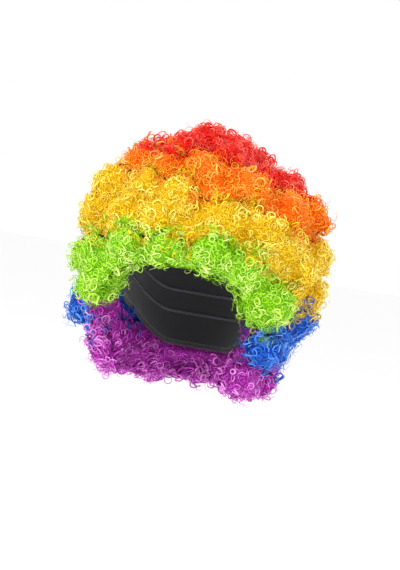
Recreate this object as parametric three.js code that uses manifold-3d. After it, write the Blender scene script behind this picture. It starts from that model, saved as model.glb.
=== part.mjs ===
// A curly rainbow wig: a stretch cap with an elastic hem carries six bands of curls.
// Millimetres, +Z up. The front is at -Y, +X is the left side as worn, and the origin is the
// inside top of the cap.
// Angles around are in degrees from the front, positive towards +X. Polar angles are in
// degrees down from straight up. Both are seen from the middle of the hair.
import * as THREE from "three";
import { mergeVertices } from "three/addons/utils/BufferGeometryUtils.js";
import Module from "manifold-3d";

const wasm = await Module();
wasm.setup();

// Cap: the inside of a thin stretch cap, whose hem is thicker towards the inside
const capHalfWidth = 77;
const capHalfLength = 97;
const capWidestDrop = 100; // from the inside top down to the widest level
const capWall = 1.5;
const hemThickness = 3;
const hemHeight = 10;
const frontRimDrop = 62; // from the inside top down to the rim
const backRimDrop = 168;

// The way in from below, between the locks under the cap
const wayInHalfWidth = 66;
const wayInHalfLength = 64;
const wayInTopDrop = 120;

// Hair
const hairAtSides = 72; // from the cap's inside out to the tips of the locks
const hairAtFrontAndBack = 51;
const hairAboveCap = 92;
const bulkDrop = 70; // from the cap's inside top down to the widest level of the hair
const bulkBack = 13; // how far the middle of the hair lies behind the cap's
const hairBelowBulk = 192;
const lockRadius = 25;
const lockLength = 44;
const lockSpacing = 56; // from one lock to the next in a row
const lockStandOut = 18; // of the locks, over the pad that they are sewn through
const pieceGap = 0.3; // between neighbouring pieces

// Facets
const mergeDistance = 1e-3;
const capAround = 20;
const capRows = 9;
const rimPerRow = 2;
const padAround = 26;
const padRows = 10;
const conePerRow = 2; // facets of a band's end from one row of bandEnds to the next
const coneRows = 4;
const lockSides = 6;

// The rim seen from the side. along is a share of capHalfLength, and drop runs from 0 at
// frontRimDrop to 1 at backRimDrop.
const rimLine = [
  { along: -1.3, drop: 0 },
  { along: -0.86, drop: 0.02 },
  { along: -0.5, drop: 0.26 },
  { along: -0.12, drop: 0.5 },
  { along: 0.3, drop: 0.66 },
  { along: 0.62, drop: 0.95 },
  { along: 1.3, drop: 1 },
];

// Where each band ends, by the angle around. A band lies below the ends of all the
// bands before it in the table, and has no hair where its own end is higher than theirs.
const bandEnds = [
  { around: -180, red: 41, orange: 62, yellow: 88, green: 110, blue: 134, purple: 151 },
  { around: -120, red: 40, orange: 54, yellow: 87, green: 108, blue: 134, purple: 151 },
  { around: -77, red: 37, orange: 47, yellow: 86, green: 106, blue: 133, purple: 151 },
  { around: -64, red: 35, orange: 46, yellow: 84, green: 109, blue: 130, purple: 151 },
  { around: -57, red: 35, orange: 46, yellow: 83, green: 114, blue: 119, purple: 150 },
  { around: -50, red: 33, orange: 47, yellow: 82, green: 114, blue: 0, purple: 0 },
  { around: -41, red: 29, orange: 46, yellow: 80, green: 110, blue: 0, purple: 0 },
  { around: -33, red: 26, orange: 45, yellow: 79, green: 94, blue: 0, purple: 0 },
  { around: -10, red: 21, orange: 46, yellow: 75, green: 90, blue: 0, purple: 0 },
  { around: 12, red: 31, orange: 57, yellow: 79, green: 90, blue: 0, purple: 0 },
  { around: 33, red: 27, orange: 52, yellow: 80, green: 94, blue: 0, purple: 0 },
  { around: 41, red: 34, orange: 53, yellow: 81, green: 110, blue: 0, purple: 0 },
  { around: 50, red: 36, orange: 60, yellow: 85, green: 115, blue: 0, purple: 0 },
  { around: 57, red: 36, orange: 65, yellow: 89, green: 115, blue: 130, purple: 150 },
  { around: 72, red: 41, orange: 68, yellow: 104, green: 107, blue: 134, purple: 151 },
  { around: 103, red: 50, orange: 71, yellow: 108, green: 0, blue: 135, purple: 152 },
  { around: 132, red: 45, orange: 66, yellow: 95, green: 109, blue: 134, purple: 151 },
  { around: 180, red: 41, orange: 62, yellow: 88, green: 110, blue: 134, purple: 151 },
];

// The bands in the order in which they are cut, with the column that ends each
const bands = [
  { name: "red_curls", end: "red", color: 0xe01818 },
  { name: "orange_curls", end: "orange", color: 0xff7a08 },
  { name: "yellow_curls", end: "yellow", color: 0xf0c818 },
  { name: "green_curls", end: "green", color: 0x78d820 },
  { name: "blue_curls", end: "blue", color: 0x1858d8 },
  { name: "purple_curls", end: "purple", color: 0xb028b0 },
];

// Tufts that stand out of the hair and hollows in it. out is a share of lockStandOut.
const tufts = [
  { around: -77, polar: 51, out: 0.45 },
  { around: -77, polar: 145, out: -0.6 },
  { around: 103, polar: 32, out: -0.6 },
  { around: 103, polar: 53, out: 0.65 },
  { around: 103, polar: 90, out: 0.35 },
];
const tuftSpread = 14; // degrees from a tuft's middle to where it stands out little

// A lock from root to tip. along is a share of lockLength, and wide and swing, the side step
// of its corkscrew, are shares of lockRadius.
const lockSections = [
  { along: 0, wide: 0, swing: 0 },
  { along: 0.1, wide: 1, swing: 0 },
  { along: 0.56, wide: 1, swing: 0.05 },
  { along: 0.88, wide: 0.72, swing: 0.2 },
  { along: 1, wide: 0, swing: 0.3 },
];
const lockTurns = 1.4;
const lockDroop = 0.35; // how far a lock on the side leans down, against one step outwards

// How much locks differ from each other, as shares
const sizeSpread = 0.1;
const placeSpread = 0.12; // of lockSpacing
const standOutSpread = 0.3; // of lockStandOut

const radians = THREE.MathUtils.degToRad;
const degrees = THREE.MathUtils.radToDeg;
const bulkCentre = new THREE.Vector3(0, bulkBack, -bulkDrop);
const hairHalfWidth = capHalfWidth + hairAtSides;
const hairHalfDepth = capHalfLength + hairAtFrontAndBack;

/** A three.js geometry as a manifold-3d solid. */
function solidOf(geometry) {
  const bare = geometry.clone();
  bare.deleteAttribute("normal");
  bare.deleteAttribute("uv");
  const merged = mergeVertices(bare, mergeDistance);
  return new wasm.Manifold(
    new wasm.Mesh({
      numProp: 3,
      vertProperties: new Float32Array(merged.attributes.position.array),
      triVerts: new Uint32Array(merged.index.array),
    }),
  );
}

/** Solids joined into one. */
function joined(solids) {
  return solids.reduce((sum, solid) => sum.add(solid));
}

/** A manifold-3d solid as a named three.js mesh. */
function meshOf(name, solid, material) {
  const { vertProperties, triVerts } = solid.getMesh();
  const geometry = new THREE.BufferGeometry();
  geometry.setAttribute("position", new THREE.BufferAttribute(vertProperties, 3));
  geometry.setIndex(new THREE.BufferAttribute(triVerts, 1));
  geometry.computeVertexNormals();
  const mesh = new THREE.Mesh(geometry, material);
  mesh.name = name;
  return mesh;
}

/** The unit vector at an angle around and a polar angle. */
function direction(around, polar) {
  const out = Math.sin(radians(polar));
  return new THREE.Vector3(
    out * Math.sin(radians(around)),
    -out * Math.cos(radians(around)),
    Math.cos(radians(polar)),
  );
}

/** A sphere with each of its vertices moved to place(around, polar). */
function shapedSphere(around, rows, place) {
  const geometry = new THREE.SphereGeometry(1, around, rows).rotateX(Math.PI / 2);
  const points = geometry.attributes.position;
  for (let i = 0; i < points.count; i++) {
    const at = new THREE.Vector3().fromBufferAttribute(points, i);
    const polar = degrees(Math.acos(THREE.MathUtils.clamp(at.z, -1, 1)));
    const placed = place(degrees(Math.atan2(at.x, -at.y)), polar);
    points.setXYZ(i, placed.x, placed.y, placed.z);
  }
  return solidOf(geometry);
}

/** The cap's inside, grown on all sides. */
function capForm(grow) {
  return shapedSphere(capAround, capRows, (around, polar) =>
    direction(around, polar)
      .multiply(
        new THREE.Vector3(
          capHalfWidth + grow,
          capHalfLength + grow,
          capWidestDrop + grow,
        ),
      )
      .add(new THREE.Vector3(0, 0, -capWidestDrop)),
  );
}

/** All that lies below the rim's line, raised by some height. */
function belowRim(raise) {
  const points = rimLine.map(
    ({ along, drop }) =>
      new THREE.Vector2(
        along * capHalfLength,
        raise - THREE.MathUtils.lerp(frontRimDrop, backRimDrop, drop),
      ),
  );
  const line = new THREE.SplineCurve(points).getPoints(rimPerRow * (points.length - 1));
  const far = 2 * backRimDrop;
  const shape = new THREE.Shape([
    ...line,
    new THREE.Vector2(points.at(-1).x, -far),
    new THREE.Vector2(points[0].x, -far),
  ]);
  const depth = 4 * capHalfWidth;
  const toSideView = new THREE.Matrix4().makeBasis(
    new THREE.Vector3(0, 1, 0),
    new THREE.Vector3(0, 0, 1),
    new THREE.Vector3(1, 0, 0),
  );
  return solidOf(
    new THREE.ExtrudeGeometry(shape, { depth, bevelEnabled: false })
      .translate(0, 0, -depth / 2)
      .applyMatrix4(toSideView),
  );
}

/** The cap: a thin wall that ends in a thicker hem. */
function makeCap() {
  const outside = capForm(capWall);
  const wall = outside.subtract(capForm(0)).subtract(belowRim(0));
  const hem = outside
    .subtract(capForm(capWall - hemThickness))
    .subtract(belowRim(0))
    .intersect(belowRim(hemHeight));
  return wall.add(hem);
}

/** What the hair leaves free: the cap with its inside, and the way in below it. */
function makeHollow() {
  const depth = 2 * hairBelowBulk;
  const wayIn = new THREE.CylinderGeometry(1, 1, depth, capAround)
    .rotateX(Math.PI / 2)
    .scale(wayInHalfWidth, wayInHalfLength, 1)
    .translate(0, 0, -wayInTopDrop - depth / 2);
  return capForm(capWall + pieceGap).add(solidOf(wayIn));
}

/** How far the outside of the hair lies from its middle, along a unit vector. */
function hairReach(along) {
  const up = along.z > 0 ? hairAboveCap + bulkDrop : hairBelowBulk;
  const even = 1 / Math.hypot(along.x / hairHalfWidth, along.y / hairHalfDepth, along.z / up);
  return tufts.reduce((reach, { around, polar, out }) => {
    const off = degrees(along.angleTo(direction(around, polar))) / tuftSpread;
    return reach + out * lockStandOut * Math.exp(-off * off);
  }, even);
}

/** The pad of all bands together, grown by a gap when it is used to cut later bands. */
function makePad(grow) {
  return shapedSphere(padAround, padRows, (around, polar) => {
    const along = direction(around, polar);
    const reach = hairReach(along) - lockStandOut + grow;
    return along.multiplyScalar(reach).add(bulkCentre);
  });
}

/** The polar angle at which a band ends. */
function bandEnd(end, around) {
  const turned = THREE.MathUtils.euclideanModulo(around + 180, 360) - 180;
  const next = Math.max(1, bandEnds.findIndex((row) => row.around >= turned));
  const [low, high] = [bandEnds[next - 1], bandEnds[next]];
  const share = (turned - low.around) / (high.around - low.around);
  return THREE.MathUtils.lerp(low[end], high[end], share);
}

/** All that lies above a band's end, widened by an angle. */
function aboveEnd(end, widen) {
  const far = 2 * (hairHalfWidth + hairBelowBulk);
  const lastRow = 180 * (1 - 1 / coneRows);
  return shapedSphere(conePerRow * (bandEnds.length - 1), coneRows, (turn, polar) => {
    if (polar > lastRow + 1) return bulkCentre;
    const place = ((turn + 180) / 360) * (bandEnds.length - 1);
    const row = Math.min(Math.floor(place + 1e-4), bandEnds.length - 2);
    const [low, high] = [bandEnds[row], bandEnds[row + 1]];
    const around = THREE.MathUtils.lerp(low.around, high.around, place - row);
    const limit = Math.max(
      ...[-widen, 0, widen].map((step) => bandEnd(end, around + step) + widen),
      1,
    );
    return direction(around, (limit * polar) / lastRow).multiplyScalar(far).add(bulkCentre);
  });
}

/** A number from -1 to 1 that is the same each time for the same seed. */
function spread(seed) {
  const wave = Math.sin(seed * 12.9898) * 43758.5453;
  return 2 * (wave - Math.floor(wave)) - 1;
}

/** A lock standing on the origin along +Z, with its corkscrew started at a turn. */
function lockGeometry(turn) {
  const profile = lockSections.map(
    ({ along, wide }) => new THREE.Vector2(wide * lockRadius, along * lockLength),
  );
  const geometry = new THREE.LatheGeometry(profile, lockSides).rotateX(Math.PI / 2);
  const points = geometry.attributes.position;
  for (let i = 0; i < points.count; i++) {
    const share = points.getZ(i) / lockLength;
    const section = lockSections.findLast(({ along }) => along <= share + 1e-4);
    const angle = turn + 2 * Math.PI * lockTurns * share;
    const step = section.swing * lockRadius;
    points.setX(i, points.getX(i) + step * Math.cos(angle));
    points.setY(i, points.getY(i) + step * Math.sin(angle));
  }
  return geometry;
}

/** Where the locks of a band stand: in rows that follow its ends, more of them where it is wide. */
function lockPlaces(index) {
  const widest = Math.max(hairHalfWidth, hairHalfDepth);
  const rowStep = degrees((lockSpacing * Math.sin(Math.PI / 3)) / widest);
  const before = bands.slice(0, index).map(({ end }) => end);
  const startAt = (around) => Math.max(0, ...before.map((end) => bandEnd(end, around)));
  const widthAt = (around) => bandEnd(bands[index].end, around) - startAt(around);
  const rowsAt = (around) =>
    widthAt(around) > rowStep / 4 ? Math.max(1, Math.round(widthAt(around) / rowStep)) : 0;
  const most = Math.max(...bandEnds.map(({ around }) => rowsAt(around)));
  const places = [];
  for (let row = 0; row < most; row++) {
    const polarAt = (around) =>
      startAt(around) + (widthAt(around) * (row + 0.5)) / Math.max(1, rowsAt(around));
    let around = -180;
    while (around < 180) {
      const seed = places.length + 100 * index + 17 * row;
      const used = row < rowsAt(around);
      const polar = used ? polarAt(around) : 90;
      const step = degrees(lockSpacing / (widest * Math.sin(radians(polar))));
      if (used && around < 180 - step / 2)
        places.push({
          around: around + (step / 2) * (row % 2) + step * placeSpread * spread(seed),
          polar: polar + rowStep * placeSpread * spread(seed + 0.3),
          seed,
        });
      around += used ? step : step / 4;
    }
  }
  return places;
}

/** One lock at its place, grown by a gap when it is used to cut its neighbours. */
function makeLock({ around, polar, seed }, grow) {
  const outwards = direction(around, polar);
  const size = 1 + sizeSpread * spread(seed + 0.6);
  const tip = hairReach(outwards) + lockStandOut * standOutSpread * spread(seed + 0.8);
  const lean = new THREE.Vector3(0, 0, -lockDroop * Math.sin(radians(polar)));
  const along = outwards.clone().add(lean).normalize();
  const turned = new THREE.Quaternion().setFromUnitVectors(new THREE.Vector3(0, 0, 1), along);
  const scale = size * (1 + (2 * grow) / lockRadius);
  const middle = lockLength / 2;
  const geometry = lockGeometry(Math.PI * spread(seed + 0.4))
    .translate(0, 0, -middle)
    .scale(scale, scale, scale)
    .translate(0, 0, (middle - lockLength) * size)
    .applyQuaternion(turned);
  const at = outwards.multiplyScalar(tip).add(bulkCentre);
  return solidOf(geometry.translate(at.x, at.y, at.z));
}

/** Each band: its slice of the pad joined with its locks, clear of the cap and of earlier bands. */
function makeBands() {
  const pad = makePad(0);
  const grownPad = makePad(pieceGap);
  const hollow = makeHollow();
  const widen = degrees(pieceGap / capHalfWidth);
  let taken = hollow;
  return bands.map(({ name, end, color }, index) => {
    const places = lockPlaces(index);
    const locks = (grow) => places.map((place) => makeLock(place, grow));
    const slice = pad.intersect(aboveEnd(end, 0));
    const hair = joined([slice, ...locks(0)]).subtract(taken);
    taken = joined([taken, grownPad.intersect(aboveEnd(end, widen)), ...locks(pieceGap)]);
    const material = new THREE.MeshStandardMaterial({ color, roughness: 0.55, metalness: 0 });
    return meshOf(name, hair, material);
  });
}

const wig = new THREE.Group();
const capMaterial = new THREE.MeshStandardMaterial({ color: 0x2a2a2e, roughness: 0.85, metalness: 0 });
wig.add(meshOf("cap", makeCap(), capMaterial), ...makeBands());

export default wig;
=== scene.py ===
"""A curly rainbow wig: a stretch cap that carries six bands of ringlets, held up as worn."""

import logging
import math
from dataclasses import dataclass, field
from enum import Enum

import bmesh
import bpy
import numpy as np
from mathutils import Matrix, Vector, noise
from mathutils.bvhtree import BVHTree


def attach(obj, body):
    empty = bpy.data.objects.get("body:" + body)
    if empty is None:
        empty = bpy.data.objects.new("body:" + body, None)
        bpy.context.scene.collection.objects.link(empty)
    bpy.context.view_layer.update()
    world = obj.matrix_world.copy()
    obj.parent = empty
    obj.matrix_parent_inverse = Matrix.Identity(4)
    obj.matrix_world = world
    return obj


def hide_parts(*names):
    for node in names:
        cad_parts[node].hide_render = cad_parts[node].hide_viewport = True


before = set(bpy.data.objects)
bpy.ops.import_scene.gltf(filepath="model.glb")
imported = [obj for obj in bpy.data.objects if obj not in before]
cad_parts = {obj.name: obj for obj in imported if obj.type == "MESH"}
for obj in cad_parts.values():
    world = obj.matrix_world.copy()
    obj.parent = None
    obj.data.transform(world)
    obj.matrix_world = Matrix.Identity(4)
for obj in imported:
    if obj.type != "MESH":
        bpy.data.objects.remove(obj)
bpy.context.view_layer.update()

MM = 0.001
FULL_TURN = 2.0 * math.pi
FIRST_SEED = 7
SEED_STEP = 3

logging.basicConfig(level=logging.INFO, format="%(message)s")
LOG = logging.getLogger("wig")

Colour = tuple[float, float, float]
Socket = bpy.types.NodeSocket


class Band(Enum):
    """The colour bands, from the top down, by their frame's node."""

    RED = "red_curls"
    ORANGE = "orange_curls"
    YELLOW = "yellow_curls"
    GREEN = "green_curls"
    BLUE = "blue_curls"
    PURPLE = "purple_curls"


class Cast(Enum):
    """The kinds of curl that a coat is made of."""

    RINGLETS = "ringlets"
    WISPS = "wisps"


class Draw(Enum):
    """The random draws of a coat, each by its step from the coat's seed."""

    LEAN = 11
    STRAY = 17
    SPIN = 23
    SIZE = 37
    KIND = 41
    TONE = 53


@dataclass(frozen=True)
class Curl:
    """One curl's form, its lengths as shares of the coat's named sizes."""

    turns: float
    first: float
    last: float
    rise: float
    strand: float


CURLS: dict[Cast, tuple[Curl, ...]] = {
    Cast.RINGLETS: (
        Curl(turns=1.2, first=1.0, last=0.85, rise=0.4, strand=1.1),
        Curl(turns=1.4, first=0.85, last=0.6, rise=0.75, strand=1.0),
        Curl(turns=1.9, first=0.65, last=0.5, rise=1.2, strand=0.9),
        Curl(turns=1.1, first=1.1, last=0.9, rise=0.3, strand=0.95),
        Curl(turns=1.25, first=1.05, last=0.85, rise=0.7, strand=1.6),
    ),
    Cast.WISPS: (
        Curl(turns=1.0, first=0.5, last=1.1, rise=1.0, strand=1.0),
        Curl(turns=1.4, first=0.7, last=0.9, rise=1.2, strand=0.9),
        Curl(turns=0.8, first=0.6, last=1.4, rise=0.8, strand=0.8),
    ),
}


@dataclass(frozen=True)
class HairColour:
    """The tones of one fibre's dye, from painted shade deep between the curls to a painted
    highlight at its lit edge.
    """

    deep: Colour
    body: Colour
    lit: Colour
    slot: str


COLOURS: dict[Band, HairColour] = {
    Band.RED: HairColour(
        (0.56, 0.003, 0.002), (0.94, 0.016, 0.008), (1.0, 0.17, 0.11), "red_hair"
    ),
    Band.ORANGE: HairColour(
        (0.86, 0.085, 0.0), (1.0, 0.26, 0.002), (1.0, 0.50, 0.07), "orange_hair"
    ),
    Band.YELLOW: HairColour(
        (0.62, 0.32, 0.0), (0.96, 0.63, 0.004), (1.0, 0.93, 0.20), "yellow_hair"
    ),
    Band.GREEN: HairColour(
        (0.115, 0.36, 0.0), (0.38, 0.80, 0.012), (0.80, 1.0, 0.26), "green_hair"
    ),
    Band.BLUE: HairColour(
        (0.002, 0.03, 0.26), (0.012, 0.13, 0.68), (0.14, 0.40, 1.0), "blue_hair"
    ),
    Band.PURPLE: HairColour(
        (0.20, 0.005, 0.19), (0.60, 0.045, 0.56), (0.95, 0.38, 0.90), "purple_hair"
    ),
}


class Tree:
    """A node tree, with short ways to add nodes and arithmetic to it."""

    def __init__(self, tree: bpy.types.NodeTree) -> None:
        """Keep the tree that the nodes join."""
        self.tree = tree

    def feed(self, socket: Socket, value: object) -> None:
        """Link a socket to an input, or set the input to a plain value.

        Args:
            socket: the input.
            value: an output's socket, or the plain value.
        """
        if isinstance(value, Socket):
            self.tree.links.new(value, socket)
        else:
            socket.default_value = value

    def add(self, kind: str, geometry: Socket | None = None, **values: object) -> bpy.types.Node:
        """Add a node, set its properties, and set or link its inputs.

        Args:
            kind: the node's type name.
            geometry: the socket for its first input, if it takes geometry.
            values: properties by name, or inputs by their name with spaces as underscores.

        Returns:
            The new node.
        """
        made = self.tree.nodes.new(kind)
        for name, value in values.items():
            if hasattr(made, name):
                setattr(made, name, value)
            else:
                self.feed(made.inputs[name.replace("_", " ")], value)
        if geometry is not None:
            self.tree.links.new(geometry, made.inputs[0])
        return made

    def number(self, operation: str, *values: object) -> Socket:
        """Apply a Math node.

        Args:
            operation: the Math node's operation.
            values: its inputs, as sockets or numbers.

        Returns:
            The result's socket.
        """
        made = self.add("ShaderNodeMath", operation=operation)
        for socket, value in zip(made.inputs, values):
            self.feed(socket, value)
        return made.outputs[0]

    def vector(self, operation: str, *values: object, scale: object = None) -> Socket:
        """Apply a Vector Math node.

        Args:
            operation: the Vector Math node's operation.
            values: its vector inputs, as sockets or tuples.
            scale: the Scale operation's factor.

        Returns:
            The result's socket.
        """
        made = self.add("ShaderNodeVectorMath", operation=operation)
        for socket, value in zip(made.inputs, values):
            self.feed(socket, value)
        if scale is not None:
            self.feed(made.inputs["Scale"], scale)
        return made.outputs["Value" if operation == "DOT_PRODUCT" else "Vector"]

    def weighed(self, start: object, *parts: tuple[object, float]) -> Socket:
        """Add numbers up, each times its weight.

        Args:
            start: what the sum starts from.
            parts: each number's socket and its weight.

        Returns:
            The sum's socket.
        """
        for part, weight in parts:
            start = self.number("MULTIPLY_ADD", part, weight, start)
        return start


class Surface(Tree):
    """A material's tree, with its shader."""

    def __init__(self, name: str) -> None:
        """Begin a material of some name."""
        self.material = bpy.data.materials.new(name)
        self.material.use_nodes = True
        super().__init__(self.material.node_tree)
        self.shader = self.tree.nodes["Principled BSDF"]

    def finish(self, **values: object) -> None:
        """Set or link the shader's inputs, by their name with spaces as underscores."""
        for name, value in values.items():
            self.feed(self.shader.inputs[name.replace("_", " ")], value)

    def place(self) -> Socket:
        """Read the place on the object."""
        return self.add("ShaderNodeTexCoord").outputs["Object"]

    def attribute(self, name: str, output: str = "Fac") -> Socket:
        """Read one of the mesh's own attributes."""
        return self.add("ShaderNodeAttribute", attribute_name=name).outputs[output]

    def blend(self, factor: Socket, low: object, high: object) -> Socket:
        """Mix two colours.

        Args:
            factor: from 0, all low, to 1, all high.
            low: the first colour.
            high: the second colour.

        Returns:
            The mixed colour's socket.
        """
        mixed = self.add("ShaderNodeMix", data_type="RGBA", Factor=factor, A=low, B=high)
        return mixed.outputs["Result"]

    def bump(self, height: Socket, strength: float, distance: float) -> None:
        """Raise the shader's surface by a height.

        Args:
            height: from 0 to 1.
            strength: the bump's strength.
            distance: how high a height of 1 stands.
        """
        made = self.add("ShaderNodeBump", Strength=strength, Distance=distance, Height=height)
        self.finish(Normal=made.outputs["Normal"])


@dataclass(frozen=True)
class Weights:
    """How far each thing lightens the fibre, from a base tone; 0 is deep and 1 is lit."""

    base: float
    open_shade: float
    tuft: float
    own: float
    form: float


# Painted shade and light: how open a place is darkens the fibre in hollows and lightens it on open
# tops, and the form darkens strands near their roots and the mass in its rings' troughs.
STRAND_WEIGHTS = Weights(base=-0.77, open_shade=0.5, tuft=0.8, own=0.65, form=0.3)
MASS_WEIGHTS = Weights(base=-1.09, open_shade=0.45, tuft=0.5, own=0.3, form=0.75)


@dataclass(frozen=True)
class HairFinish:
    """Glossy synthetic fibre, toned at random by curl and by tuft, with painted shade in hollows
    and near the roots, and painted light where the hair is open.
    """

    band: Band
    tuft_scale: float = 34.0
    curl_scale: float = 150.0
    fibre_scale: float = 1400.0
    patch_scale: float = 120.0
    shake_scale: float = 260.0
    shake_reach: float = 3.5 * MM
    ring_waves: float = 17.0
    root_rise: float = 2.6
    root_bend: float = 0.3
    strand_roughness: tuple[float, float] = (0.22, 0.2)
    strand_bump: tuple[float, float] = (0.25, 0.3 * MM)
    mass_roughness: float = 0.6
    mass_bump: tuple[float, float] = (0.8, 1.4 * MM)
    gloss: float = 0.42
    glint_white: float = 0.25
    guest_bright: tuple[float, float] = (0.6, 0.8)
    guest_patch: tuple[float, float, float] = (-1.5, 2.4, 1.6)
    guest_onset: float = 6.0

    def start(self, name: str) -> tuple[Surface, Socket]:
        """Begin a material with the fibre's gloss.

        Args:
            name: the material's name.

        Returns:
            The material's tree and the place on the object.
        """
        surface = Surface(name)
        lit = COLOURS[self.band].lit
        tint = [self.glint_white + (1.0 - self.glint_white) * part for part in lit]
        surface.finish(Specular_IOR_Level=self.gloss, Specular_Tint=(*tint, 1.0))
        return surface, surface.place()

    def noise(self, surface: Surface, place: Socket, scale: float) -> Socket:
        """Read an even noise about 0.5.

        Args:
            surface: the material's tree.
            place: the place on the object.
            scale: the noise's scale per metre.

        Returns:
            The noise's socket.
        """
        made = surface.add(
            "ShaderNodeTexNoise", Vector=place, Scale=scale, Detail=3.0, Roughness=0.6
        )
        return made.outputs["Fac"]

    def tone(
        self, surface: Surface, place: Socket, weights: Weights, own: Socket, form: Socket
    ) -> Socket:
        """Add up how light the fibre is, from 0, deep between curls, to 1, lit: painted shade and
        light from how open the place is and from the curl's form, with random tone by tuft and by
        curl.

        Args:
            surface: the material's tree.
            place: the place on the object.
            weights: how far each thing lightens it.
            own: each curl's own draw.
            form: the curl's form along it or across it, which paints shade near a strand's root or
                in the rings' troughs.

        Returns:
            The sum's socket.
        """
        return surface.weighed(
            weights.base,
            (surface.attribute("open"), weights.open_shade),
            (self.noise(surface, place, self.tuft_scale), weights.tuft),
            (own, weights.own),
            (form, weights.form),
        )

    def dye_and_shade(self, surface: Surface, tone: Socket) -> Socket:
        """Turn a number from 0 to 1 into the fibre's colours.

        Args:
            surface: the material's tree.
            tone: from 0, deep between curls, to 1, lit.

        Returns:
            The colour's socket.
        """
        colours = COLOURS[self.band]
        # The ramp runs from painted shade, through the fibre's own colour, to a painted highlight.
        ramp = surface.add("ShaderNodeValToRGB", Fac=tone)
        steps = ramp.color_ramp.elements
        steps[0].position, steps[0].color = 0.0, (*colours.deep, 1.0)
        steps[1].position, steps[1].color = 1.0, (*colours.lit, 1.0)
        steps.new(0.5).color = (*colours.body, 1.0)
        return ramp.outputs["Color"]

    def strands(self) -> bpy.types.Material:
        """Make the material of the ringlets and wisps.

        Returns:
            The new material.
        """
        surface, place = self.start(f"{self.band.value}_strand_fibre")
        # Painted shade: each strand is darker near its root, where it sinks into the mass.
        rise = surface.number("MULTIPLY", surface.attribute("along"), self.root_rise)
        root = surface.number("SMOOTH_MIN", rise, 1.0, self.root_bend)
        tone = self.tone(surface, place, STRAND_WEIGHTS, surface.attribute("tone"), root)
        fibre = self.noise(surface, place, self.fibre_scale)
        least, spread = self.strand_roughness
        surface.finish(
            Base_Color=self.dye_and_shade(surface, tone),
            Roughness=surface.weighed(least, (fibre, spread)),
        )
        surface.bump(fibre, *self.strand_bump)
        return surface.material

    def mass(self) -> bpy.types.Material:
        """Make the material of the fibre mass below the ringlets: small curls drawn as rings, with
        painted shade in their troughs and painted light on their ridges.

        Returns:
            The new material.
        """
        surface, place = self.start(f"{self.band.value}_mass_fibre")
        shake = surface.add(
            "ShaderNodeTexNoise", Vector=place, Scale=self.shake_scale, Detail=2.0
        )
        shaken = surface.vector("SUBTRACT", shake.outputs["Color"], (0.5, 0.5, 0.5))
        shaken = surface.vector("SCALE", shaken, scale=self.shake_reach)
        moved = surface.vector("ADD", shaken, place)
        cells = surface.add("ShaderNodeTexVoronoi", Vector=moved, Scale=self.curl_scale)
        # The rings darken the colour in their troughs and lighten it on their ridges: painted shade
        # and light.
        waves = surface.number("MULTIPLY", cells.outputs["Distance"], self.ring_waves)
        rings = surface.weighed(0.5, (surface.number("SINE", waves), 0.5))
        own = surface.add("ShaderNodeSeparateColor", Color=cells.outputs["Color"])
        tone = self.tone(surface, place, MASS_WEIGHTS, own.outputs["Red"], rings)
        surface.finish(
            Base_Color=self.mingled(surface, place, tone), Roughness=self.mass_roughness
        )
        surface.bump(rings, *self.mass_bump)
        return surface.material

    def mingled(self, surface: Surface, place: Socket, tone: Socket) -> Socket:
        """Colour the mass, with the neighbours' colours in patches along the borders.

        Args:
            surface: the material's tree.
            place: the place on the object.
            tone: how light the fibre is.

        Returns:
            The colour's socket.
        """
        guest = surface.attribute("guest")
        # The neighbours' colour takes the same painted shade and light as the tone.
        least, spread = self.guest_bright
        bright = surface.number("MAXIMUM", surface.weighed(least, (tone, spread)), least)
        guest_body = surface.vector(
            "SCALE", surface.attribute("guest_body", "Color"), scale=bright
        )
        level, contrast, pull = self.guest_patch
        patch = self.noise(surface, place, self.patch_scale)
        patch = surface.weighed(level, (patch, contrast), (guest, pull))
        near = surface.number("MULTIPLY", guest, self.guest_onset)
        near = surface.number("MINIMUM", near, 1.0)
        share = surface.number("MULTIPLY", patch, near)
        return surface.blend(share, self.dye_and_shade(surface, tone), guest_body)


@dataclass(frozen=True)
class NetFinish:
    """Dark stretch net in the cap's own weave."""

    thread: Colour = (0.055, 0.055, 0.062)
    gap: Colour = (0.010, 0.010, 0.012)
    mesh_pitch: float = 1.6 * MM
    roughness: float = 0.85
    sheen: float = 0.25
    bump: tuple[float, float] = (0.7, 0.6 * MM)

    def material(self) -> bpy.types.Material:
        """Make the net's material.

        Returns:
            The new material.
        """
        surface = Surface("stretch_net")
        weave = surface.add("ShaderNodeUVMap", uv_map="Weave").outputs["UV"]
        split = surface.add("ShaderNodeSeparateXYZ", Vector=weave)
        turn = FULL_TURN / self.mesh_pitch
        across, down = (
            surface.number("SINE", surface.number("MULTIPLY", split.outputs[way], turn))
            for way in ("X", "Y")
        )
        net = surface.weighed(0.5, (surface.number("MULTIPLY", across, down), 0.5))
        surface.finish(
            Base_Color=surface.blend(net, (*self.gap, 1.0), (*self.thread, 1.0)),
            Roughness=self.roughness,
            Sheen_Weight=self.sheen,
        )
        surface.bump(net, *self.bump)
        return surface.material


@dataclass(frozen=True)
class TapeFinish:
    """Woven tape or twisted thread, in one colour with a fine cross rib."""

    name: str
    light: Colour
    dark: Colour
    rib_scale: float
    roughness: float = 0.7
    bump: tuple[float, float] = (0.5, 0.3 * MM)

    def material(self) -> bpy.types.Material:
        """Make the tape's material.

        Returns:
            The new material.
        """
        surface = Surface(self.name)
        rib = surface.add(
            "ShaderNodeTexWave",
            Vector=surface.place(),
            Scale=self.rib_scale,
            Distortion=3.0,
            Detail=2.0,
        ).outputs["Fac"]
        surface.finish(
            Base_Color=surface.blend(rib, (*self.dark, 1.0), (*self.light, 1.0)),
            Roughness=self.roughness,
        )
        surface.bump(rib, *self.bump)
        return surface.material


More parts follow.
